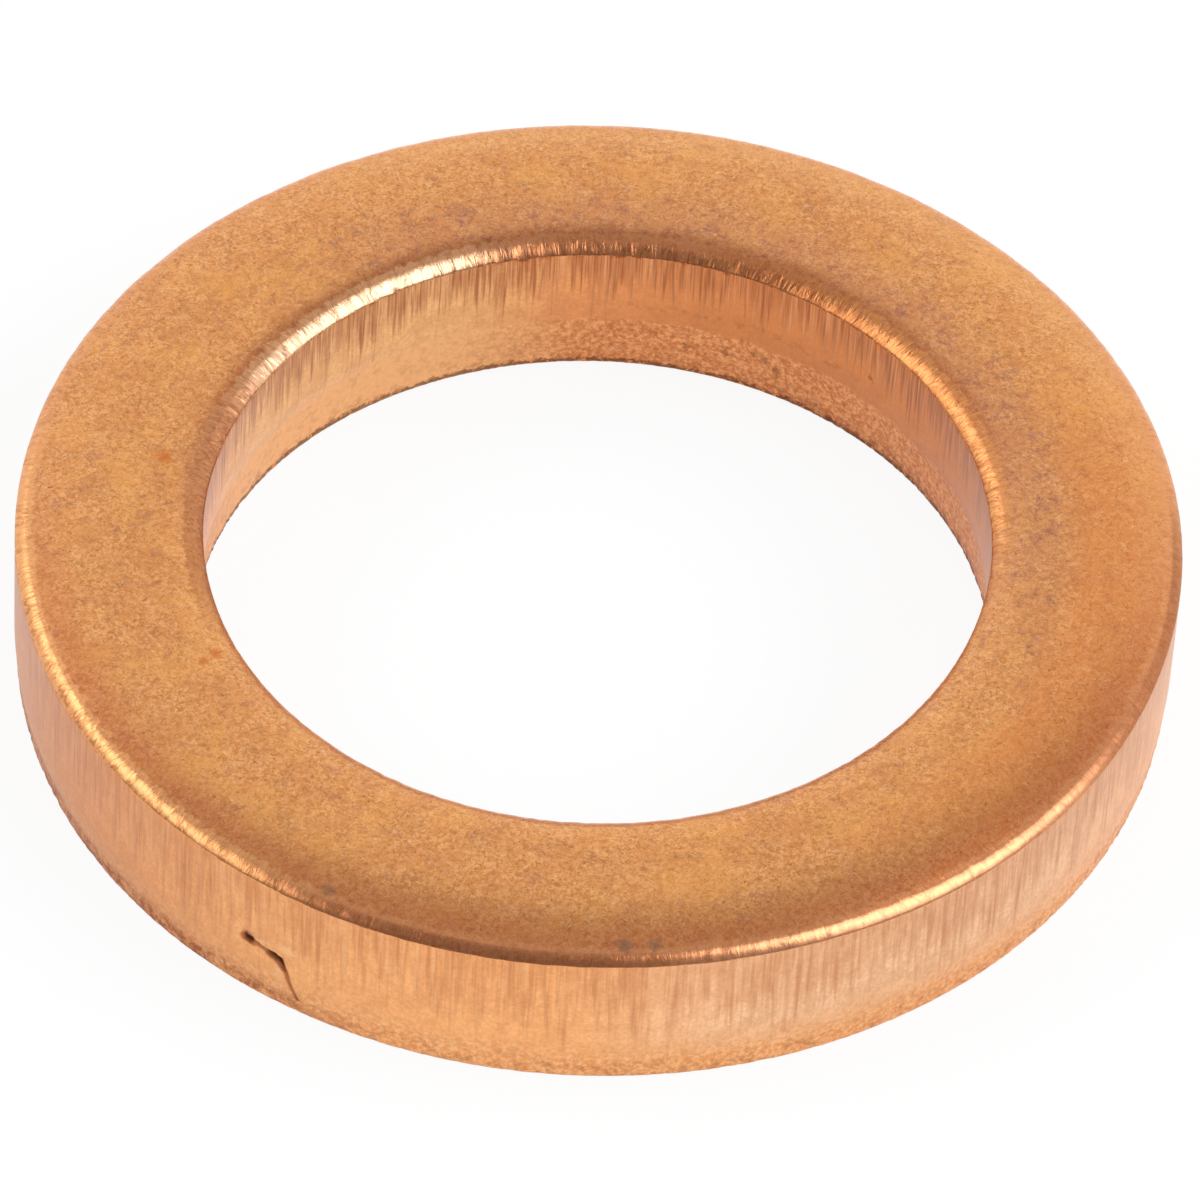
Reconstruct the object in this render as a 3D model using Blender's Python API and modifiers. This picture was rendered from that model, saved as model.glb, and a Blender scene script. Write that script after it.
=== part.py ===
"""Banjo washer: a copper sealing ring, blanked and pierced from strip in one stroke.

The ring lies on its burr side, with +Z up its axis and the origin at the centre of its bottom face.
A stamped edge has five parts, from the side that the punch enters: a die roll, where the face is
drawn down; a rounded corner, which ends in a crisp brink; a straight land that the tools burnish; a
rougher fracture, where the metal tears; and the edge where it parts. Both walls have them here,
rolled on the same side. All sizes are in metres.
"""

import math

import bmesh
import bpy
from mathutils import Vector

BORE_DIAMETER = 0.01012
RING_WIDTH = 0.00244
THICKNESS = 0.00232

# The die roll of the outer wall. Its slope steepens to the lean, and its corner on to the brink
ROLL_WIDTH = 0.00110
ROLL_LEAN = math.radians(13)
CORNER_RADIUS = 0.00030
CORNER_BRINK = math.radians(50)
# The outer fracture: the lowest stretch of the wall, set back from the land and leaning inwards
FRACTURE_HEIGHT = 0.00038
FRACTURE_SETBACK = 0.000012
FRACTURE_LEAN = 0.000015
EDGE_RADIUS = 0.00005

# The same for the bore, which is burnished to half its depth and breaks out wider below
BORE_ROLL_WIDTH = 0.00060
BORE_ROLL_LEAN = math.radians(11)
BORE_CORNER_RADIUS = 0.00033
BORE_CORNER_BRINK = math.radians(44)
BORE_FRACTURE_HEIGHT = 0.00112
BORE_FRACTURE_SETBACK = 0.000015
BORE_BREAKOUT = 0.000095
BORE_EDGE_RADIUS = 0.00011

# A tear in the outer wall. Each stop is its angle about the ring, its height and its width
TEAR_STOPS = (
    (-123.2, 0.00103, 0.00002),
    (-122.5, 0.00101, 0.00010),
    (-121.9, 0.00101, 0.00006),
    (-120.9, 0.00092, 0.00004),
    (-119.4, 0.00088, 0.00011),
    (-118.5, 0.00077, 0.00006),
    (-118.0, 0.00060, 0.00005),
    (-117.3, 0.00040, 0.00003),
    (-116.9, 0.00029, 0.00001),
)
TEAR_DEPTH = 0.00025
TEAR_OVERSHOOT = 0.00010

SEGMENTS = 160
ROLL_POINTS = 6
CORNER_POINTS = 5
EDGE_POINTS = 3
MERGE_DISTANCE = 1e-7

BORE_RADIUS = BORE_DIAMETER / 2
OUTER_RADIUS = BORE_RADIUS + RING_WIDTH


def clear_scene():
    for thing in list(bpy.data.objects):
        bpy.data.objects.remove(thing, do_unlink=True)


def arc(centre, radius, start, end, steps):
    """Points on an arc in the section plane, by its angles in radians from +X towards +Z."""
    x, z = centre
    angles = [start + (end - start) * i / steps for i in range(steps + 1)]
    return [(x + radius * math.cos(a), z + radius * math.sin(a)) for a in angles]


def rolled_edge(wall, width, lean, radius, brink):
    """A die roll as (distance in from the wall, height), from the flat face down to the brink.

    The slope is a parabola, level where it leaves the face, and the corner's arc meets it tangent.
    """
    slope_end = radius * (math.sin(brink) - math.sin(lean))
    drop = math.tan(lean) * (width - slope_end) / 2
    slope = []
    for i in range(ROLL_POINTS):
        share = i / ROLL_POINTS
        slope.append((width - (width - slope_end) * share, THICKNESS - drop * share**2))
    middle = (radius * math.sin(brink), THICKNESS - drop - radius * math.cos(lean))
    corner = arc(middle, radius, math.pi / 2 + lean, math.pi / 2 + brink, CORNER_POINTS)
    return [(wall(inset), height) for inset, height in slope + corner]


def outer_wall(inset):
    return OUTER_RADIUS - inset


def bore_wall(inset):
    return BORE_RADIUS + inset


def outer_side():
    """The outer side's points from the top face down to the bottom one."""
    foot = FRACTURE_SETBACK + FRACTURE_LEAN
    middle = (outer_wall(foot + EDGE_RADIUS), EDGE_RADIUS)
    return (
        rolled_edge(outer_wall, ROLL_WIDTH, ROLL_LEAN, CORNER_RADIUS, CORNER_BRINK)
        + [
            (outer_wall(0), FRACTURE_HEIGHT + FRACTURE_SETBACK),
            (outer_wall(FRACTURE_SETBACK), FRACTURE_HEIGHT),
        ]
        + arc(middle, EDGE_RADIUS, 0, -math.pi / 2, EDGE_POINTS)
    )


def bore_side():
    """The bore's points, also from the top face down to the bottom one."""
    foot = BORE_FRACTURE_SETBACK + BORE_BREAKOUT
    middle = (bore_wall(foot + BORE_EDGE_RADIUS), BORE_EDGE_RADIUS)
    return (
        rolled_edge(
            bore_wall, BORE_ROLL_WIDTH, BORE_ROLL_LEAN, BORE_CORNER_RADIUS, BORE_CORNER_BRINK
        )
        + [
            (bore_wall(0), BORE_FRACTURE_HEIGHT + BORE_FRACTURE_SETBACK),
            (bore_wall(BORE_FRACTURE_SETBACK), BORE_FRACTURE_HEIGHT),
        ]
        + arc(middle, BORE_EDGE_RADIUS, math.pi, 3 * math.pi / 2, EDGE_POINTS)
    )


def ring_section():
    """The ring's closed section as a mesh of edges, down the outer side and up the bore."""
    section = bmesh.new()
    corners = [section.verts.new((x, 0, z)) for x, z in outer_side() + bore_side()[::-1]]
    for here, after in zip(corners, corners[1:] + corners[:1]):
        section.edges.new((here, after))
    mesh = bpy.data.meshes.new("ring_section")
    section.to_mesh(mesh)
    section.free()
    return mesh


def tear_cutter_mesh():
    """A wedge that runs along the tear: a three-cornered section at each stop, joined in turn."""
    outward = []
    places = []
    for degrees, height, _ in TEAR_STOPS:
        angle = math.radians(degrees)
        outward.append(Vector((math.cos(angle), math.sin(angle), 0)))
        places.append(outward[-1] * OUTER_RADIUS + Vector((0, 0, height)))
    widest = max(width for _, _, width in TEAR_STOPS)
    last = len(TEAR_STOPS) - 1

    cutter = bmesh.new()
    sections = []
    for i, (_, _, width) in enumerate(TEAR_STOPS):
        heading = (places[min(i + 1, last)] - places[max(i - 1, 0)]).normalized()
        across = heading.cross(outward[i]).normalized() * width / 2
        mouth = places[i] + outward[i] * TEAR_OVERSHOOT
        tip = places[i] - outward[i] * TEAR_DEPTH * width / widest
        sections.append([cutter.verts.new(spot) for spot in (mouth - across, mouth + across, tip)])
    loops = []
    for section in sections:
        corners = zip(section, section[1:] + section[:1])
        loops.append([cutter.edges.new(pair) for pair in corners])
    for before, after in zip(loops, loops[1:]):
        bmesh.ops.bridge_loops(cutter, edges=before + after)
    for end in (sections[0], sections[-1]):
        cutter.faces.new(end)
    bmesh.ops.recalc_face_normals(cutter, faces=cutter.faces)
    mesh = bpy.data.meshes.new("tear_cutter")
    cutter.to_mesh(mesh)
    cutter.free()
    return mesh


def copper():
    material = bpy.data.materials.new("annealed_copper")
    material.use_nodes = True
    shader = material.node_tree.nodes["Principled BSDF"]
    shader.inputs["Base Color"].default_value = (0.69, 0.30, 0.12, 1)
    shader.inputs["Metallic"].default_value = 1
    shader.inputs["Roughness"].default_value = 0.38
    return material


def add_ring(parts):
    ring = bpy.data.objects.new("banjo_washer", ring_section())
    parts.objects.link(ring)
    ring.data.materials.append(copper())
    turn = ring.modifiers.new("turn", "SCREW")
    turn.axis = "Z"
    turn.angle = math.tau
    turn.steps = SEGMENTS
    turn.render_steps = SEGMENTS
    turn.use_merge_vertices = True
    turn.merge_threshold = MERGE_DISTANCE
    turn.use_smooth_shade = True
    return ring


def cut_tear(ring, cutters):
    tear = bpy.data.objects.new("tear_cutter", tear_cutter_mesh())
    cutters.objects.link(tear)
    tear.hide_render = True
    tear.display_type = "WIRE"
    cut = ring.modifiers.new("tear", "BOOLEAN")
    cut.operation = "DIFFERENCE"
    cut.solver = "EXACT"
    cut.object = tear


def new_collection(name):
    collection = bpy.data.collections.new(name)
    bpy.context.scene.collection.children.link(collection)
    return collection


def main():
    clear_scene()
    parts = new_collection("banjo_washer")
    cutters = new_collection("cutters")
    cutters.hide_render = True
    cut_tear(add_ring(parts), cutters)


main()
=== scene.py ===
"""The look of a banjo washer: one copper sealing ring, blanked and pierced from rolled strip.

The frame gives the ring's radii and thickness. The ring is spun here from the same stamped section,
with a finer mesh, so that its rims can wander, its corners crumple and its fractures tear, as the
photographed ring's do. Everything is in metres.
"""

import math
from collections import namedtuple

import bmesh
import bpy
from mathutils import Matrix, Vector, noise


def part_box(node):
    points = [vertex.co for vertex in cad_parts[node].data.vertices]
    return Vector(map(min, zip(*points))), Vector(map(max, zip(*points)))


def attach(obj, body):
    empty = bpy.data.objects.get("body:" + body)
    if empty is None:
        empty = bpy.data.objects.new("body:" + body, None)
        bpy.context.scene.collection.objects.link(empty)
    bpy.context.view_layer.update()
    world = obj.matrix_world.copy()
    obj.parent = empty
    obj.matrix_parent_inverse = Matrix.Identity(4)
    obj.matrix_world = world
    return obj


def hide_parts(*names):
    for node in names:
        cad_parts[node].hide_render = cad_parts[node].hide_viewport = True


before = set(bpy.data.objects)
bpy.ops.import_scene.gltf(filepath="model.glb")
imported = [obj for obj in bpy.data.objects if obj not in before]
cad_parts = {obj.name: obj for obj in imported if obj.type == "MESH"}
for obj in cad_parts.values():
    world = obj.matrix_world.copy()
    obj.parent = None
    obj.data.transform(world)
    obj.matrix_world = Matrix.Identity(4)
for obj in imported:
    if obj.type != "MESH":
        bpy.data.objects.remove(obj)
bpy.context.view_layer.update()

MM = 0.001

RING_LOW, RING_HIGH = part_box("banjo_washer")
THICKNESS = RING_HIGH.z - RING_LOW.z
OUTER_RADIUS = (RING_HIGH.x - RING_LOW.x) / 2
BORE_RADIUS = min(v.co.xy.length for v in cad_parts["banjo_washer"].data.vertices)

# One wall of the ring. Its face rolls down to the lean, its corner turns on to the brink, and the
# land runs straight down from there to the fracture, which breaks out wider to the bottom edge
Wall = namedtuple(
    "Wall", "radius inward roll_width lean corner brink fracture setback breakout edge steps"
)
Steps = namedtuple("Steps", "slope corner land torn edge")
OUTER_WALL = Wall(
    radius=OUTER_RADIUS,
    inward=-1,
    roll_width=1.10 * MM,
    lean=math.radians(13),
    corner=0.30 * MM,
    brink=math.radians(50),
    fracture=0.38 * MM,
    setback=0.012 * MM,
    breakout=0.015 * MM,
    edge=0.05 * MM,
    steps=Steps(slope=11, corner=9, land=16, torn=10, edge=4),
)
BORE_WALL = Wall(
    radius=BORE_RADIUS,
    inward=1,
    roll_width=0.60 * MM,
    lean=math.radians(12),
    corner=0.44 * MM,
    brink=math.radians(44),
    fracture=1.12 * MM,
    setback=0.015 * MM,
    breakout=0.095 * MM,
    edge=0.11 * MM,
    steps=Steps(slope=7, corner=9, land=10, torn=12, edge=5),
)
BRINK_WIDTH = 0.012 * MM
SETBACK_HEIGHT = 0.15 * MM
FACE_STEPS = 3
SPIN_STEPS = 900

# Where the finishes change over. The slope is turned this close to its corner, the corner is turned
# and the fracture torn in full from these shares of their way down, and the face is all the bore's
# within this reach. The ripples of the brink and of the fracture fade along the land by these powers
TURNED_REACH = 0.16 * MM
CORNER_TURNED_BY = 0.35
FRACTURE_TORN_BY = 0.3
BORE_REACH = 0.4 * MM
BRINK_FADE_POWER = 6
FOOT_FADE_POWER = 3

# How this ring differs from a true one: its round is squeezed along one diagonal, its bore sits off
# centre, its rim is drawn down further at the front right, and its bore breaks out wider at one place
SQUEEZE = 0.057 * MM
BORE_SHIFT = Vector((-0.022 * MM, -0.078 * MM))
SWELL = 0.09 * MM
SWELL_PLACE = math.radians(-42)
SWELL_SPREAD = math.radians(24)
SWELL_ROUNDING = 0.6
BREAKOUT_SWELL = 0.04 * MM
BREAKOUT_PLACE = math.radians(144)
BREAKOUT_SPREAD = math.radians(20)

# Its ripples, as their depth and the size of their features. The fracture has fine pits too, and the
# outer one is pitted by a share of what the bore's is
Ripple = namedtuple("Ripple", "depth size")
BRINK_WANDER = Ripple(0.022 * MM, 0.8 * MM)
BRINK_CHATTER = Ripple(0.012 * MM, 0.22 * MM)
FRACTURE_WANDER = Ripple(0.10 * MM, 2.5 * MM)
CORNER_CRUMPLE = Ripple(0.018 * MM, 0.36 * MM)
TORN_PITS = Ripple(0.012 * MM, 0.16 * MM)
FINE_PIT_SIZE = 0.07 * MM
FINE_PIT_SHARE = 0.6
OUTER_PIT_SHARE = 0.3
BURR = Ripple(0.03 * MM, 0.13 * MM)

# Noise on the corners and walls goes by the way round the ring, with these shares of the true place
ACROSS_SHARE = 0.6
DOWN_SHARE = 0.05

# The bore's corner is creased at the back, from and to these sines of the angle about the ring. The
# outer one is creased on the left and smoother elsewhere
BORE_CREASE_SINES = (-0.4, 0.3)
SMOOTH_CREASE = 0.5
LEFT_CREASE = 1.0
LEFT_CREASE_PLACE = math.radians(-150)
LEFT_CREASE_SPREAD = math.radians(30)

# A tear in the outer wall. Each stop is its angle about the ring, its height and its width
TEAR_STOPS = (
    (-123.3, 0.98 * MM, 0.02 * MM),
    (-122.9, 0.98 * MM, 0.13 * MM),
    (-122.4, 0.97 * MM, 0.15 * MM),
    (-122.0, 0.96 * MM, 0.05 * MM),
    (-120.8, 0.93 * MM, 0.04 * MM),
    (-120.2, 0.92 * MM, 0.10 * MM),
    (-119.6, 0.90 * MM, 0.15 * MM),
    (-119.1, 0.87 * MM, 0.15 * MM),
    (-118.7, 0.80 * MM, 0.10 * MM),
    (-118.2, 0.68 * MM, 0.05 * MM),
    (-117.9, 0.56 * MM, 0.03 * MM),
    (-117.0, 0.29 * MM, 0.02 * MM),
)
TEAR_DEPTH = 0.05 * MM
TEAR_STEEPNESS = 0.6
# The tear's colour reaches this far beyond its lips
TEAR_COLOUR_REACH = 0.04 * MM
TEAR_FULL_WIDTH = 0.14 * MM
TEAR_LEAST_SHARE = 0.4
TEAR_LIPS = Ripple(0.035 * MM, 0.12 * MM)
TEAR_MARGIN = 0.17 * MM
TEAR_CUTS = 3

# Marks that stand out: angle about the ring, radius, height, and half its size round, in and up.
# In halves of its size, a mark is whole within one distance of its centre and gone beyond another
Mark = namedtuple("Mark", "degrees radius height round_half in_half up_half")
MARK_MIDDLE, MARK_OUTSIDE = 0.3, 1.5
ANY = 1 * MM
RUST_MARKS = (
    Mark(173.9, 5.71 * MM, THICKNESS, 0.10 * MM, 0.12 * MM, ANY),
    Mark(-149.7, 5.49 * MM, THICKNESS, 0.08 * MM, 0.09 * MM, ANY),
    Mark(-149.2, 5.72 * MM, THICKNESS, 0.05 * MM, 0.05 * MM, ANY),
)
SOOT_MARKS = (
    Mark(-85.0, 7.25 * MM, THICKNESS, 0.12 * MM, 0.09 * MM, ANY),
    Mark(-82.0, 7.25 * MM, THICKNESS, 0.10 * MM, 0.06 * MM, ANY),
    Mark(-114.9, 7.28 * MM, THICKNESS, 0.10 * MM, 0.07 * MM, ANY),
)
DARK_MARKS = (
    Mark(64.4, 5.12 * MM, 0.55 * MM, 0.05 * MM, ANY, 0.15 * MM),
    Mark(66.3, 5.12 * MM, 0.72 * MM, 0.07 * MM, ANY, 0.08 * MM),
    Mark(68.0, 5.12 * MM, 0.80 * MM, 0.06 * MM, ANY, 0.06 * MM),
    Mark(72.7, 5.12 * MM, 0.62 * MM, 0.05 * MM, ANY, 0.09 * MM),
    Mark(78.7, 5.12 * MM, 0.57 * MM, 0.06 * MM, ANY, 0.06 * MM),
    Mark(47.3, 5.06 * MM, 1.46 * MM, 0.04 * MM, ANY, 0.04 * MM),
)
# Painted highlights on the bulging lips of the tear
LIP_HIGHLIGHT_MARKS = (
    Mark(-121.0, 7.50 * MM, 1.05 * MM, 0.10 * MM, ANY, 0.04 * MM),
    Mark(-118.2, 7.50 * MM, 1.10 * MM, 0.12 * MM, ANY, 0.08 * MM),
    Mark(-119.2, 7.50 * MM, 0.62 * MM, 0.07 * MM, ANY, 0.12 * MM),
)
# Pale spots that show only through the painted glints, so they are painted highlights too
PALE_GLINT_MARKS = (
    Mark(25.0, 5.99 * MM, THICKNESS, 0.05 * MM, 0.22 * MM, ANY),
    Mark(88.1, 6.16 * MM, THICKNESS, 0.10 * MM, 0.10 * MM, ANY),
    Mark(137.0, 6.70 * MM, THICKNESS, 0.05 * MM, 0.25 * MM, ANY),
    Mark(-165.0, 5.95 * MM, THICKNESS, 0.30 * MM, 0.12 * MM, ANY),
    Mark(-67.0, 6.20 * MM, THICKNESS, 0.22 * MM, 0.04 * MM, ANY),
)

FACE_ROUGHNESS = 0.30

# The outlines of all marks and stains wander by up to half of this reach, in patches of this size
WANDER_SIZE_MM = 0.10
WANDER_REACH = 0.22 * MM

# The camera, from the photograph: it looks down at the ring from the front, through a long lens
CAMERA_ELEVATION = math.radians(46.68)
CAMERA_DISTANCE = 135.5 * MM
CAMERA_PAN = math.radians(-0.024)
CAMERA_TILT = math.radians(0.237)
CAMERA_ROLL = math.radians(-3.63)
SENSOR_WIDTH = 36
LENS = 312.75

# A white sweep, and how far it is plain white to the lens and to the metal
FLOOR_SIZE = 3.0
FLOOR_WHITE_TO_LENS = 0.90
FLOOR_WHITE_TO_METAL = 0.40

# The studio's walls as the metal sees them. The back one is brightest up to a line that falls to the
# right by this slope, and each part fades into the next between these parts of a unit direction
FRONT_TO_BACK = (-0.3, 0.2)
BACK_TOP_SLOPE = 0.124
BACK_TOP_FADE = (0.885, 0.721)
FRONT_BRIGHTNESS, BACK_BRIGHTNESS, BACK_WALL_MORE = 0.39, 0.68, 0.33

# Softboxes. Each lies by degrees from +X towards +Y and above the floor, and faces the ring. The
# fills light the paper, and the other two are there for the metal to reflect
Softbox = namedtuple("Softbox", "name azimuth elevation distance width height brightness")
FILLS = (
    Softbox("right_fill", -20, 36, 0.40, 0.60, 0.26, 2.9),
    Softbox("left_fill", 180, 36, 0.40, 0.32, 0.24, 2.1),
)
REFLECTED = (
    Softbox("right_softbox", -11, 52, 0.39, 0.225, 0.285, 2.5),
    Softbox("left_softbox", 174, 45, 0.39, 0.460, 0.165, 1.30),
)
# A lamp's power for each square metre of a face that is as bright as white
WHITE_WATTS = 4

MIX_FACTOR, MIX_A, MIX_B, MIX_RESULT = 0, 6, 7, 2


def linear(hex_colour):
    """An sRGB hex colour as linear RGBA."""
    shares = [int(hex_colour[i : i + 2], 16) / 255 for i in (1, 3, 5)]
    return [s / 12.92 if s <= 0.04045 else ((s + 0.055) / 1.055) ** 2.4 for s in shares] + [1]


def add(tree, kind, inputs, output=0, **settings):
    """Adds a shader node and gives back one output.

    An input takes a value, an sRGB hex colour or another node's output.
    """
    node = tree.nodes.new("ShaderNode" + kind)
    for name, value in settings.items():
        setattr(node, name, value)
    for key, value in inputs.items():
        if isinstance(value, bpy.types.NodeSocket):
            tree.links.new(value, node.inputs[key])
        else:
            is_colour = isinstance(value, str)
            node.inputs[key].default_value = linear(value) if is_colour else value
    return node.outputs[output] if node.outputs else None


def per_metre(size_mm):
    """A texture's scale for a pattern whose repeats are about this far apart."""
    return 1 / (size_mm * MM)


def smooth(low, high, value):
    share = min(max((value - low) / (high - low), 0), 1)
    return share * share * (3 - 2 * share)


def bump_at(angle, centre, spread):
    """A swelling from 0 to 1 and back, about one place on the ring."""
    return math.exp(-(((angle - centre) / spread) ** 2))


def ripple(spot, size):
    """Smooth noise from -1 to 1 whose features are about this large."""
    return noise.noise(spot / size)


# The ring's section


def wall_stations(wall):
    """The section down one wall, as (radius, height, shares of each finish)."""
    slope_end = wall.corner * (math.sin(wall.brink) - math.sin(wall.lean))
    drop = math.tan(wall.lean) * (wall.roll_width - slope_end) / 2
    steps = wall.steps
    found = []

    def place(inset, height, **shares):
        found.append((wall.radius + wall.inward * inset, height, shares))

    for i in range(steps.slope):
        share = math.sin(math.pi / 2 * i / steps.slope)
        inset = wall.roll_width - (wall.roll_width - slope_end) * share
        turned = smooth(TURNED_REACH, 0, inset - slope_end) / 2
        place(inset, THICKNESS - drop * share**2, rolled=1, dip=share**2, turned=turned)
    for i in range(steps.corner + 1):
        share = i / steps.corner
        tilt = wall.lean + (wall.brink - wall.lean) * share
        inset = wall.corner * (math.sin(wall.brink) - math.sin(tilt))
        height = THICKNESS - drop - wall.corner * (math.cos(wall.lean) - math.cos(tilt))
        turned = (1 + smooth(0, CORNER_TURNED_BY, share)) / 2
        place(inset, height, rolled=1, turned=turned, dip=1, rim=share)
    top = height - BRINK_WIDTH
    foot = wall.fracture + SETBACK_HEIGHT
    for i in range(steps.land):
        share = i / (steps.land - 1)
        height = top + (foot - top) * share
        fade = 1 - share
        rim = fade**BRINK_FADE_POWER
        place(0, height, dip=fade, rim=rim, drawn=fade, broken=share**FOOT_FADE_POWER)
    for i in range(steps.torn + 1):
        share = i / steps.torn
        inset = wall.setback + wall.breakout * share
        height = wall.fracture + (wall.edge - wall.fracture) * share
        torn = smooth(0, FRACTURE_TORN_BY, share)
        place(inset, height, torn=torn, broken=1 - share, burr=share**FOOT_FADE_POWER)
    foot = wall.setback + wall.breakout + wall.edge
    for i in range(1, steps.edge + 1):
        angle = math.pi + math.pi / 2 * i / steps.edge
        fade = 1 - i / steps.edge
        inset = foot + wall.edge * math.cos(angle)
        height = wall.edge * (1 + math.sin(angle))
        place(inset, height, torn=fade, rolled=1 - fade, burr=fade)
    return found


def face_stations(start, end):
    """Stations across a flat face, between two walls' stations."""
    found = []
    for i in range(1, FACE_STEPS + 1):
        share = i / (FACE_STEPS + 1)
        found.append((start[0] + (end[0] - start[0]) * share, start[1], {"rolled": 1}))
    return found


def ring_stations():
    outer = wall_stations(OUTER_WALL)
    bore = wall_stations(BORE_WALL)[::-1]
    return outer + face_stations(outer[-1], bore[0]) + bore + face_stations(bore[-1], outer[0])


# What each point of the ring has a share of: the strip's rolled face, the corners that the die turned
# over, their creases, the draw lines, the torn metal, the roll's dip, the wander of the brink and of
# the fracture's top, the burr at its foot, the tear, and the bore's side of the ring
FINISHES = (
    "rolled", "turned", "creased", "drawn", "torn", "dip", "rim", "broken", "burr", "tear", "bore"
)


def spun_ring():
    """The ring as a bmesh: its section, with each finish's share on its points, spun full circle."""
    ring = bmesh.new()
    layers = {name: ring.verts.layers.float.new(name) for name in FINISHES}
    corners = []
    bore_end, outer_start = BORE_RADIUS + BORE_REACH, OUTER_RADIUS - OUTER_WALL.roll_width
    for radius, height, shares in ring_stations():
        corner = ring.verts.new((radius, 0, height))
        for name, share in shares.items():
            corner[layers[name]] = share
        corner[layers["bore"]] = 1 - smooth(bore_end, outer_start, radius)
        corners.append(corner)
    for here, after in zip(corners, corners[1:] + corners[:1]):
        ring.edges.new((here, after))
    bmesh.ops.spin(
        ring,
        geom=ring.verts[:] + ring.edges[:],
        cent=(0, 0, 0),
        axis=(0, 0, 1),
        dvec=(0, 0, 0),
        angle=math.tau,
        steps=SPIN_STEPS,
        use_merge=True,
        use_duplicate=False,
    )
    bmesh.ops.recalc_face_normals(ring, faces=ring.faces)
    return ring, layers


# Wear and tear


def tear_places():
    """The tear's stops on the unrolled outer wall: (distance round, height, width)."""
    return [
        (OUTER_RADIUS * math.radians(degrees), height, width)
        for degrees, height, width in TEAR_STOPS
    ]


def tear_share(round_wall, height, margin):
    """How far into the tear a point of the outer wall lies, from 0 at its lips to 1 in its middle.

    Where the tear is narrow, it doesn't open as far.
    """
    nearest = 0
    stops = tear_places()
    for (x0, z0, w0), (x1, z1, w1) in zip(stops, stops[1:]):
        run = Vector((x1 - x0, z1 - z0))
        away = Vector((round_wall - x0, height - z0))
        share = min(max(away.dot(run) / run.length_squared, 0), 1)
        gap = (away - run * share).length
        width = w0 + (w1 - w0) * share
        strength = min(TEAR_LEAST_SHARE + (1 - TEAR_LEAST_SHARE) * width / TEAR_FULL_WIDTH, 1)
        nearest = max(nearest, (1 - gap / (width / 2 + margin)) * strength)
    return nearest


def near_tear(spot):
    """Whether a point is on the outer wall in the box round the tear."""
    stops = tear_places()
    place = math.atan2(spot.y, spot.x) * OUTER_RADIUS
    return (
        spot.xy.length > OUTER_RADIUS - TEAR_DEPTH
        and min(s[0] for s in stops) - TEAR_MARGIN < place < max(s[0] for s in stops) + TEAR_MARGIN
        and min(s[1] for s in stops) - TEAR_MARGIN < spot.z < max(s[1] for s in stops) + TEAR_MARGIN
    )


def refine_tear(ring):
    """Divides the wall round the tear finely enough to sink it."""
    inside = {vert for vert in ring.verts if near_tear(vert.co)}
    edges = [edge for edge in ring.edges if edge.verts[0] in inside and edge.verts[1] in inside]
    bmesh.ops.subdivide_edges(ring, edges=edges, cuts=TEAR_CUTS, use_grid_fill=True)


def wear(vert, layers):
    """Moves one point from the true section to where this ring's metal lies."""
    spot = vert.co.copy()
    share = {name: vert[layer] for name, layer in layers.items()}
    angle = math.atan2(spot.y, spot.x)
    out = Vector((math.cos(angle), math.sin(angle), 0))
    wall_out = out if share["bore"] < 0.5 else -out
    on_rim = out * OUTER_RADIUS
    on_left = bump_at(angle % math.tau, LEFT_CREASE_PLACE % math.tau, LEFT_CREASE_SPREAD)
    crease = SMOOTH_CREASE + (LEFT_CREASE - SMOOTH_CREASE) * on_left
    crease += (smooth(*BORE_CREASE_SINES, math.sin(angle)) - crease) * share["bore"]
    vert[layers["creased"]] = crease * share["turned"]

    brink = BRINK_WANDER.depth * ripple(on_rim, BRINK_WANDER.size)
    brink += BRINK_CHATTER.depth * ripple(on_rim, BRINK_CHATTER.size)
    moved = spot - Vector((0, 0, abs(brink) * share["rim"]))
    swell = bump_at(angle, SWELL_PLACE, SWELL_SPREAD) * (1 - share["bore"])
    moved.z -= SWELL * swell * share["dip"] ** (SWELL_ROUNDING if share["rolled"] else 1)
    moved.z += FRACTURE_WANDER.depth * ripple(on_rim, FRACTURE_WANDER.size) * share["broken"]

    crumple = abs(ripple(on_rim + spot * ACROSS_SHARE, CORNER_CRUMPLE.size))
    crumple = crumple * crease * share["turned"]
    pitted = ripple(spot, TORN_PITS.size) + FINE_PIT_SHARE * ripple(spot, FINE_PIT_SIZE)
    pitted = abs(pitted) * share["torn"]
    pitted *= OUTER_PIT_SHARE + (1 - OUTER_PIT_SHARE) * share["bore"]
    burr = abs(ripple(on_rim, BURR.size)) * share["burr"]
    sunk = CORNER_CRUMPLE.depth * crumple + TORN_PITS.depth * pitted + BURR.depth * burr
    moved -= wall_out * sunk
    breakout = bump_at(angle, BREAKOUT_PLACE, BREAKOUT_SPREAD) * share["bore"] * share["torn"]
    moved -= wall_out * BREAKOUT_SWELL * breakout
    if near_tear(spot):
        height = spot.z + TEAR_LIPS.depth * ripple(spot, TEAR_LIPS.size)
        opened = tear_share(angle * OUTER_RADIUS, height, 0)
        vert[layers["tear"]] = tear_share(angle * OUTER_RADIUS, height, TEAR_COLOUR_REACH)
        moved -= wall_out * TEAR_DEPTH * opened**TEAR_STEEPNESS

    moved += out * SQUEEZE * math.sin(2 * angle)
    moved.xy += BORE_SHIFT * share["bore"]
    vert.co = moved


def build_ring():
    ring, layers = spun_ring()
    refine_tear(ring)
    for vert in ring.verts:
        wear(vert, layers)
    mesh = bpy.data.meshes.new("sealing_ring")
    ring.to_mesh(mesh)
    ring.free()
    mesh.shade_smooth()
    piece = bpy.data.objects.new("sealing_ring", mesh)
    bpy.context.scene.collection.objects.link(piece)
    mesh.materials.append(stamped_copper())
    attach(piece, "root")
    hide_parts("banjo_washer")


# Finishes


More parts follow.
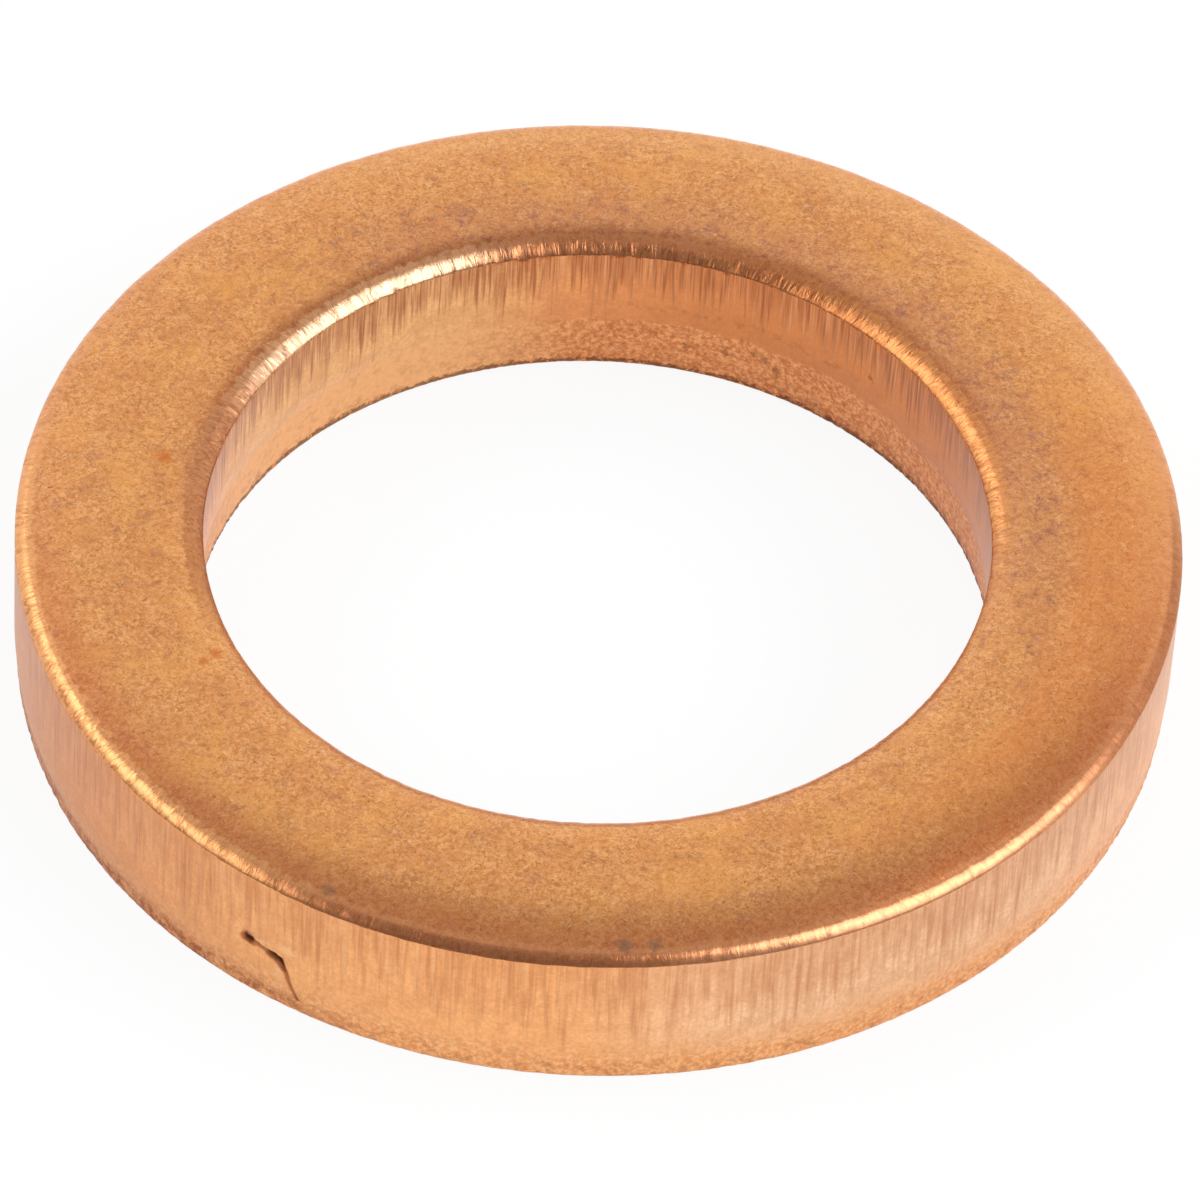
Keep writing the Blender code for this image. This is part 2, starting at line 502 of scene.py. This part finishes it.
class Metal:
    """One material's masks over the ring, and the coats of colour that are laid on through them."""

    def __init__(self, tree):
        self.tree = tree
        self.place = add(tree, "TexCoord", {}, "Object")
        self.share = {
            name: add(tree, "Attribute", {}, "Fac", attribute_name=name) for name in FINISHES
        }
        self.bore = self.share["bore"]
        self.outer = self.overlap((self.bore, 0.6, 0.4))

        # The way round the ring, as a place on the outer wall at height 0. Noise along it, with a
        # little of the true place, is drawn out down the walls and across the corners
        level = add(tree, "VectorMath", {0: self.place, 1: (1, 1, 0)}, operation="MULTIPLY")
        self.level = add(tree, "VectorMath", {0: level}, operation="NORMALIZE")
        on_wall = {0: self.level, 1: (OUTER_RADIUS,) * 3}
        way_round = add(tree, "VectorMath", on_wall, operation="MULTIPLY")
        drawn_down = {0: self.place, 1: (0, 0, DOWN_SHARE), 2: way_round}
        self.drawn_down = add(tree, "VectorMath", drawn_down, operation="MULTIPLY_ADD")
        drawn_across = {0: self.place, 1: (ACROSS_SHARE,) * 3, 2: way_round}
        self.drawn_across = add(tree, "VectorMath", drawn_across, operation="MULTIPLY_ADD")

        # Every outline of a mark is ragged, because it is measured from a place that wanders
        wander = self.cloud(WANDER_SIZE_MM, detail=2, roughness=0.7)
        wander = add(tree, "TexNoise", wander, "Color")
        wander = add(tree, "VectorMath", {0: wander, 1: (0.5, 0.5, 0.5)}, operation="SUBTRACT")
        ragged = {0: wander, 1: (WANDER_REACH,) * 3, 2: self.place}
        ragged = add(tree, "VectorMath", ragged, operation="MULTIPLY_ADD")
        x, y, self.height = (add(tree, "SeparateXYZ", {0: ragged}, axis) for axis in "XYZ")
        level = add(tree, "VectorMath", {0: ragged, 1: (1, 1, 0)}, operation="MULTIPLY")
        self.radius = add(tree, "VectorMath", {0: level}, "Value", operation="LENGTH")
        angle = add(tree, "Math", {0: y, 1: x}, operation="ARCTAN2")
        self.polar = add(tree, "CombineXYZ", {0: angle, 1: self.radius, 2: self.height})

        # Patches that are used more than once
        # Pale flecks painted on the face as glints: painted highlights
        self.painted_glints = self.patches(0.10, 0.68, 0.81, detail=2, swirl=1.5)
        self.lines = self.patches(0.045, 0.28, 0.72, detail=1, along=self.drawn_down)
        self.crumbs = self.patches(0.07, 0.31, 0.71, detail=2, roughness=0.75)
        self.soil = self.patches(0.16, 0.48, 0.66, roughness=0.7)

    def overlap(self, *masks):
        """Where all of these masks are high. A mask can be a value with its places for 0 and 1."""
        cover = 1
        for mask in masks:
            if isinstance(mask, tuple):
                limits = {"Value": mask[0], "From Min": mask[1], "From Max": mask[2]}
                mask = add(self.tree, "MapRange", limits, interpolation_type="SMOOTHSTEP")
            if cover != 1:
                mask = add(self.tree, "Math", {0: cover, 1: mask}, operation="MULTIPLY")
            cover = mask
        return cover

    def coat(self, under, over, *masks):
        """Lays a colour over another, where all of the masks are high. A plain number thins it."""
        inputs = {MIX_FACTOR: self.overlap(*masks), MIX_A: under, MIX_B: over}
        return add(self.tree, "Mix", inputs, MIX_RESULT, data_type="RGBA")

    def cloud(self, size_mm, detail=3, roughness=0.6, swirl=0, along=None):
        """The inputs for noise whose patches are about this far apart."""
        return {
            "Vector": self.place if along is None else along,
            "Scale": per_metre(size_mm),
            "Detail": detail,
            "Roughness": roughness,
            "Distortion": swirl,
        }

    def patches(self, size_mm, low, high, **shape):
        """Soft patches: 0 where a cloud is below low, and 1 above high."""
        return self.overlap((add(self.tree, "TexNoise", self.cloud(size_mm, **shape)), low, high))

    def threads(self, size_mm, width, **shape):
        """Thin curling lines, along which a cloud crosses its middle."""
        cloud = add(self.tree, "TexNoise", self.cloud(size_mm, **shape))
        off = add(self.tree, "Math", {0: cloud, 1: 0.5}, operation="SUBTRACT")
        return self.overlap((add(self.tree, "Math", {0: off}, operation="ABSOLUTE"), width, 0))

    def frayed(self, value, size_mm):
        """A value from 0 to 1 with a cloud added, so that its levels have ragged outlines."""
        cloud = add(self.tree, "TexNoise", self.cloud(size_mm))
        return add(self.tree, "Math", {0: value, 1: cloud}, operation="ADD")

    def side(self, degrees, wide, narrow):
        """The side of the ring that lies this way: 0 beyond wide degrees off it, 1 within narrow."""
        angle = math.radians(degrees)
        way = {0: self.level, 1: (math.cos(angle), math.sin(angle), 0)}
        off = add(self.tree, "VectorMath", way, "Value", operation="DOT_PRODUCT")
        return self.overlap((off, math.cos(math.radians(wide)), math.cos(math.radians(narrow))))

    def marks(self, places):
        """Where any of these marks is: 1 in their middles, and 0 a little outside them."""
        nearest = MARK_OUTSIDE
        for mark in places:
            halves = (mark.round_half / mark.radius, mark.in_half, mark.up_half)
            centre = (math.radians(mark.degrees), mark.radius, mark.height)
            away = add(self.tree, "VectorMath", {0: self.polar, 1: centre}, operation="SUBTRACT")
            away = add(self.tree, "VectorMath", {0: away, 1: halves}, operation="DIVIDE")
            away = add(self.tree, "VectorMath", {0: away}, "Value", operation="LENGTH")
            nearest = add(self.tree, "Math", {0: away, 1: nearest}, operation="MINIMUM")
        return self.overlap((nearest, MARK_OUTSIDE, MARK_MIDDLE))


def rolled_colour(metal):
    """The rolled face with its die rolls: browned, finely fibred, scratched and freckled, with painted
    glints and painted shade and highlights on its rolls and corners.
    """
    overlap, coat, patches, threads = metal.overlap, metal.coat, metal.patches, metal.threads
    side, share, radius = metal.side, metal.share, metal.radius
    outer, bore = metal.outer, metal.bore
    fibres = patches(0.065, 0.31, 0.69, roughness=0.78, swirl=0.8)
    face = coat("#CC8347", "#F5B376", fibres)
    face = coat(face, "#D88E55", patches(0.45, 0.42, 0.62, detail=4, roughness=0.65), 0.45)
    face = coat(face, "#F4AE60", patches(1.1, 0.48, 0.66), 0.35)
    freckles = patches(0.20, 0.50, 0.71, roughness=0.7, swirl=0.6)
    face = coat(face, "#94625A", freckles, 0.30)
    beside_bore = overlap((radius, 6.4 * MM, 5.6 * MM), side(58, 92, 50))
    face = coat(face, "#8C5A55", freckles, beside_bore, 0.45)
    face = coat(face, "#B57460", beside_bore, 0.28)
    face = coat(face, "#E08648", side(-14, 50, 15), (radius, 5.8 * MM, 6.4 * MM), 0.45)
    face = coat(face, "#7E4A2C", threads(0.16, 0.022, detail=2), 0.35)
    face = coat(face, "#FFD2A2", threads(0.19, 0.016, detail=2), fibres, 0.40)
    scratches = patches(0.09, 0.63, 0.74, detail=2, roughness=0.55, swirl=2.5)
    face = coat(face, "#84492A", scratches, 0.55)
    # Painted glints: pale flecks that stand in for highlights
    face = coat(face, "#FFD2A2", metal.painted_glints, 0.45)

    # The rolls that face the front are painted browner, which is painted shade, and the far outer roll
    # is painted paler, which is painted light
    steep = overlap((share["dip"], 0, 0.7))
    face = coat(face, "#BC623A", steep, side(-85, 115, 60), outer, 0.55)
    face = coat(face, "#A4522F", steep, side(95, 100, 60), bore, 0.60)
    face = coat(face, "#FFC27C", steep, side(60, 85, 45), outer, 0.20)

    # The corners were turned over by the die, and are fresh metal up to a ragged edge on the slope
    fresh = overlap((metal.frayed(share["turned"], 0.12), 0.72, 0.98))
    corner = overlap((share["turned"], 0.4, 1.0), outer)
    corner_of_bore = overlap((share["turned"], 0.6, 1.0), bore)
    face = coat(face, "#EBA272", fresh, outer, 0.40)
    # Where the softboxes' highlights lie on the corners, the fresh metal is painted paler or more
    # golden: painted highlight
    face = coat(face, "#FFC27A", fresh, outer, side(-152, 42, 22), 0.35)
    face = coat(face, "#F6C090", fresh, bore, side(122, 70, 40), 0.50)
    face = coat(face, "#FFDDBE", corner_of_bore, side(134, 30, 14), 0.45)
    face = coat(face, "#E89A56", fresh, bore, side(38, 48, 22), 0.55)
    face = coat(face, "#F8CCAA", corner, side(-48, 38, 15), 0.20)
    # Where the corners face the front, or lie just past a softbox's highlight, they are painted
    # darker: painted shade
    face = coat(face, "#A05C36", corner, side(-12, 24, 8), 0.70)
    face = coat(face, "#984F30", corner, side(-100, 26, 8), 0.55)
    face = coat(face, "#B4663A", fresh, bore, side(82, 34, 14), 0.75)
    face = coat(face, "#A86038", fresh, bore, side(180, 30, 12), 0.60)
    face = coat(face, "#F2B484", fibres, steep, 0.20)
    face = coat(face, "#6E3E28", scratches, steep, 0.25)
    # Dark lines along the creases of the corners: painted shade
    creases = threads(0.42, 0.045, detail=3, swirl=1.2, along=metal.drawn_across)
    return coat(face, "#8E4C2C", share["creased"], creases, 0.55)


def land_colour(metal):
    """The walls' burnished lands: paler, with soft draw lines straight down, painted paler where they
    face the right softbox and darker where they face away from it, as painted light and shade.
    """
    coat, patches, side, drawn_down = metal.coat, metal.patches, metal.side, metal.drawn_down
    outer, bore = metal.outer, metal.bore
    dark_lines = patches(0.050, 0.43, 0.66, detail=1, along=drawn_down)
    broad_lines = patches(0.13, 0.37, 0.63, detail=2, roughness=0.7, along=drawn_down)
    lengths = patches(0.09, 0.20, 0.80, detail=2, along=drawn_down)
    reach = add(metal.tree, "Math", {0: metal.share["drawn"], 1: lengths}, operation="ADD")
    streaked = metal.overlap((reach, 0.62, 1.30))
    # Painted light and shade: the outer land is paler at the front right and darker on the left, and
    # the bore's is paler at the back left and darker at the back right, by how they face the right
    # softbox
    land = coat("#FFBC7E", "#FFD0A4", side(-54, 38, 14))
    land = coat(land, "#EBA06A", side(-172, 50, 12), 0.9)
    bore_land = coat("#F6A66A", "#FFC88A", side(138, 44, 14))
    bore_land = coat(bore_land, "#D07A42", side(35, 65, 35), 0.5)
    land = coat(land, bore_land, bore)
    land = coat(land, "#BE7444", patches(0.05, 0.24, 0.76, detail=1, roughness=0.7), 0.28)
    land = coat(land, "#C97E50", patches(0.30, 0.39, 0.63, roughness=0.65), 0.26)
    land = coat(land, "#C0642F", streaked, 0.25)
    land = coat(land, "#FBC896", metal.lines, streaked, 0.30)
    land = coat(land, "#B4693C", dark_lines, streaked, outer, 0.32)
    land = coat(land, "#8C4528", dark_lines, streaked, bore, 0.58)
    land = coat(land, "#B8693A", broad_lines, streaked, 0.25)
    return coat(land, "#9C5230", broad_lines, streaked, bore, 0.32)


def fracture_colour(metal):
    """The torn foot of the walls: grainy and soiled, darker along the bore's bottom edge, and painted
    paler or darker by the way each side faces the right softbox, as painted light and shade.
    """
    overlap, coat, patches, side = metal.overlap, metal.coat, metal.patches, metal.side
    crumbs, soil, bore, height = metal.crumbs, metal.soil, metal.bore, metal.height
    fracture = coat("#E89C60", "#FFC68C", crumbs)
    bore_fracture = coat("#D58048", "#FFBA80", crumbs)
    # Painted light and shade: the bore's fracture is paler at the back left, and the outer one darker
    # on the left
    bore_fracture = coat(bore_fracture, "#FFC88C", side(136, 44, 14), 0.8)
    fracture = coat(fracture, "#B87044", side(-160, 50, 18), 0.35)
    fracture = coat(fracture, bore_fracture, bore)
    fracture = coat(fracture, "#A4603A", soil, 0.20)
    low = overlap((height, 0.42 * MM, 0.14 * MM))
    crumbled = patches(0.13, 0.38, 0.62, roughness=0.7)
    fracture = coat(fracture, "#96461F", low, crumbled, side(-150, 45, 20), 0.8)
    fracture = coat(fracture, "#8A4222", low, crumbled, side(20, 60, 25), bore, 0.6)
    fracture = coat(fracture, "#B0623A", low, soil, 0.30)
    # Darker along the bore's bottom edge, with orange grains in it
    dark_bottom_band = overlap((height, 0.17 * MM, 0.10 * MM), bore)
    fracture = coat(fracture, "#5A2814", dark_bottom_band, 0.70)
    return coat(fracture, "#F0A060", dark_bottom_band, patches(0.09, 0.56, 0.66, detail=2))


def copper_colour(metal):
    """All the finishes, each in its place, with the marks over them."""
    overlap, coat, height, bore = metal.overlap, metal.coat, metal.height, metal.bore
    fracture = fracture_colour(metal)

    # The outer land crumbles little by little, and the bore's ends at a ragged line
    crumbling = overlap((height, 0.90 * MM, 0.20 * MM), metal.outer)
    broken = overlap((metal.frayed(metal.share["torn"], 0.22), 0.75, 1.35), bore)
    seam = overlap((height, 1.38 * MM, 1.28 * MM), (height, 1.16 * MM, 1.26 * MM))
    colour = coat(land_colour(metal), fracture, crumbling)
    colour = coat(colour, rolled_colour(metal), metal.share["rolled"])
    colour = coat(colour, fracture, broken)
    colour = coat(colour, "#8C5230", seam, metal.soil, bore, metal.side(70, 32, 12), 0.30)
    colour = coat(colour, "#C9692C", metal.marks(RUST_MARKS), 0.7)
    colour = coat(colour, "#6C625C", metal.marks(SOOT_MARKS), 0.50)
    colour = coat(colour, "#7A4028", metal.marks(DARK_MARKS), 0.50)
    # Pale spots through the painted glints: painted highlights
    colour = coat(colour, "#F4CDB0", metal.marks(PALE_GLINT_MARKS), metal.painted_glints, 0.8)
    # Painted highlights on the bulging lips of the tear
    colour = coat(colour, "#F6C896", metal.marks(LIP_HIGHLIGHT_MARKS), 0.5)
    # The tear is coloured reddish brown round its lips and near black in its middle; the near-black
    # middle is painted shade
    colour = coat(colour, "#A65C34", (metal.share["tear"], 0.02, 0.40), 0.8)
    return coat(colour, "#4A1E0E", (metal.share["tear"], 0.35, 0.85))


def copper_relief(metal):
    """The creases of the corners, the lines of the lands and the grain of the torn metal."""
    overlap, share = metal.overlap, metal.share
    crumple = metal.patches(0.24, 0.25, 0.75, detail=3, swirl=0.8, along=metal.drawn_across)
    normal = None
    for height, depth_mm in (
        (overlap(crumple, share["creased"]), 0.0060),
        (overlap(metal.lines, share["drawn"]), 0.0010),
        (overlap(metal.crumbs, share["torn"]), 0.0025),
    ):
        inputs = {"Height": height, "Distance": depth_mm * MM, "Strength": 1}
        if normal:
            inputs["Normal"] = normal
        normal = add(metal.tree, "Bump", inputs)
    return normal


def copper_roughness(metal):
    """The slopes beside the corners are smoother than the face, and the torn metal is rougher."""
    overlap, share = metal.overlap, metal.share
    dull = FACE_ROUGHNESS
    for more, where in (
        (-0.11, overlap((share["dip"], 0, 0.3), share["rolled"])),
        (0.14, overlap((share["turned"], 0.5, 1))),
        (-0.05, share["creased"]),
        (0.12, share["torn"]),
    ):
        dull = add(metal.tree, "Math", {0: where, 1: more, 2: dull}, operation="MULTIPLY_ADD")
    return dull


def stamped_copper():
    """Annealed copper strip: its rolled face has browned in store, and its cut walls are fresher."""
    material = bpy.data.materials.new("stamped_copper")
    material.use_nodes = True
    tree = material.node_tree
    tree.nodes.clear()
    metal = Metal(tree)
    surface = {
        "Base Color": copper_colour(metal),
        "Metallic": 1,
        "Roughness": copper_roughness(metal),
        "Normal": copper_relief(metal),
    }
    add(tree, "OutputMaterial", {"Surface": add(tree, "BsdfPrincipled", surface, "BSDF")})
    return material


# The studio


def white_paper():
    """A matt white sweep. The lens, and the metal in part, see it white, with a soft shadow."""
    material = bpy.data.materials.new("white_paper")
    material.use_nodes = True
    tree = material.node_tree
    tree.nodes.clear()
    to_lens = add(tree, "LightPath", {}, "Is Camera Ray")
    to_metal = add(tree, "LightPath", {}, "Is Glossy Ray")
    share = add(tree, "Math", {0: to_lens, 1: FLOOR_WHITE_TO_LENS}, operation="MULTIPLY")
    share = {0: to_metal, 1: FLOOR_WHITE_TO_METAL, 2: share}
    share = add(tree, "Math", share, operation="MULTIPLY_ADD")
    paper = add(tree, "BsdfDiffuse", {"Color": "#F0F0F0"})
    white = add(tree, "Emission", {"Color": "#FFFFFF", "Strength": 1})
    both = add(tree, "MixShader", {0: share, 1: paper, 2: white})
    add(tree, "OutputMaterial", {"Surface": both})
    return material


def add_floor():
    floor = bmesh.new()
    bmesh.ops.create_grid(floor, x_segments=1, y_segments=1, size=FLOOR_SIZE / 2)
    mesh = bpy.data.meshes.new("floor")
    floor.to_mesh(mesh)
    floor.free()
    mesh.materials.append(white_paper())
    piece = bpy.data.objects.new("floor", mesh)
    bpy.context.scene.collection.objects.link(piece)


def direction(azimuth, elevation):
    """A unit vector by degrees from +X towards +Y, and above the floor."""
    a, e = math.radians(azimuth), math.radians(elevation)
    return Vector((math.cos(e) * math.cos(a), math.cos(e) * math.sin(a), math.sin(e)))


def add_softbox(box):
    """A soft rectangular lamp aimed at the ring, whose face is this many times as bright as white."""
    light = bpy.data.lights.new(box.name, "AREA")
    light.shape = "RECTANGLE"
    light.size = box.width
    light.size_y = box.height
    light.energy = WHITE_WATTS * box.brightness * box.width * box.height
    piece = bpy.data.objects.new(box.name, light)
    towards = direction(box.azimuth, box.elevation)
    piece.location = towards * box.distance
    piece.rotation_euler = towards.to_track_quat("Z", "Y").to_euler()
    bpy.context.scene.collection.objects.link(piece)
    return piece


def add_world():
    """A studio whose back wall is bright, with a dimmer ceiling and front."""
    world = bpy.data.worlds.new("studio")
    bpy.context.scene.world = world
    world.use_nodes = True
    tree = world.node_tree
    tree.nodes.clear()
    towards = add(tree, "TexCoord", {}, "Generated")
    depth = add(tree, "SeparateXYZ", {"Vector": towards}, "Y")
    slope = (BACK_TOP_SLOPE, 0, 1)
    height = add(tree, "VectorMath", {0: towards, 1: slope}, "Value", operation="DOT_PRODUCT")
    behind = {"Value": depth, "From Min": FRONT_TO_BACK[0], "From Max": FRONT_TO_BACK[1]}
    behind = add(tree, "MapRange", behind, interpolation_type="SMOOTHSTEP")
    below = {"Value": height, "From Min": BACK_TOP_FADE[0], "From Max": BACK_TOP_FADE[1]}
    below = add(tree, "MapRange", below, interpolation_type="SMOOTHSTEP")
    both = add(tree, "Math", {0: behind, 1: below}, operation="MULTIPLY")
    level = {"Value": behind, "To Min": FRONT_BRIGHTNESS, "To Max": BACK_BRIGHTNESS}
    level = add(tree, "MapRange", level)
    level = add(tree, "Math", {0: both, 1: BACK_WALL_MORE, 2: level}, operation="MULTIPLY_ADD")
    background = add(tree, "Background", {"Color": "#FFFFFF", "Strength": level})
    add(tree, "OutputWorld", {"Surface": background})


def add_camera():
    """The camera aims at the middle of the underside, then pans, tilts and rolls as the photo does."""
    back = Vector((0, -math.cos(CAMERA_ELEVATION), math.sin(CAMERA_ELEVATION)))
    place = back * CAMERA_DISTANCE
    right = Vector((1, 0, 0))
    up = back.cross(right)
    pan = Matrix.Rotation(CAMERA_PAN, 3, up)
    right = pan @ right
    back = pan @ back
    tilt = Matrix.Rotation(CAMERA_TILT, 3, right)
    back = tilt @ back
    up = tilt @ up
    roll = Matrix.Rotation(CAMERA_ROLL, 3, -back)
    right = roll @ right
    up = roll @ up
    camera = bpy.data.cameras.new("camera")
    camera.lens = LENS
    camera.sensor_width = SENSOR_WIDTH
    camera.clip_start = 10 * MM
    piece = bpy.data.objects.new("camera", camera)
    turn = Matrix((right, up, back)).transposed().to_4x4()
    piece.matrix_world = Matrix.Translation(place) @ turn
    bpy.context.scene.collection.objects.link(piece)
    bpy.context.scene.camera = piece


def main():
    add_camera()
    build_ring()
    add_floor()
    add_world()
    for box in FILLS:
        add_softbox(box).visible_glossy = False
    for box in REFLECTED:
        add_softbox(box).visible_diffuse = False
    bpy.context.scene.view_settings.view_transform = "Standard"


main()
